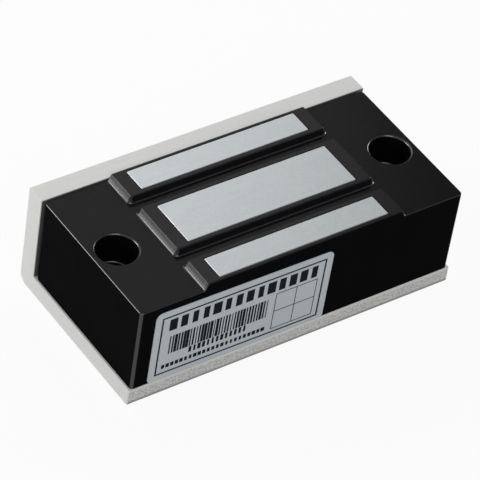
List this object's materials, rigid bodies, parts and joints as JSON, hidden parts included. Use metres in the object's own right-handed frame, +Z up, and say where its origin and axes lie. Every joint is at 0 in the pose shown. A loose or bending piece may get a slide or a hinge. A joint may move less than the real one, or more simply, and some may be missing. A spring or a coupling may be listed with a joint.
{
  "type": "electromagnetic lock",
  "caption": "Small electromagnetic door lock: black case with raised steel pole faces and screw wells on an L-shaped aluminium bracket.",
  "frame": {"origin": "middle of the bracket's underside", "axes": "+X along the lock towards its cable inlet, +Y towards the bracket's wall, +Z up from the bracket's floor to the pole faces"},
  "size_m": [0.08, 0.0412, 0.0266],
  "materials": {
    "bracket": "satin extruded, sawn ends",
    "case": "satin moulded black",
    "pole_steel": "ground and plated",
    "fastener_steel": "zinc plated",
    "bobbin": "natural moulded",
    "copper": "enamelled wire",
    "tape": "polyester film",
    "pin_brass": "tinned",
    "lead_red": "insulated wire",
    "lead_black": "insulated wire",
    "board": "solder mask",
    "varistor": "dipped coating",
    "diode": "moulded",
    "grommet": "moulded rubber",
    "resin": "poured resin",
    "insert_brass": "turned",
    "label": "printed silver film"
  },
  "bodies": {
    "root": {"mounting_bracket": "bracket", "case": "case", "core_stack": "pole_steel", "core_rivets": "fastener_steel", "coil_bobbin": "bobbin", "coil_winding": "copper", "coil_tape": "tape", "bobbin_pins": "pin_brass", "coil_lead_start": "lead_red", "coil_lead_finish": "lead_black", "circuit_board": "board", "surge_varistor": "varistor", "flyback_diode": "diode", "supply_posts": "pin_brass", "cable_grommet": "grommet", "potting_compound": "resin", "threaded_inserts": "insert_brass", "bracket_screws": "fastener_steel", "label": "label"}
  },
  "joints": []
}
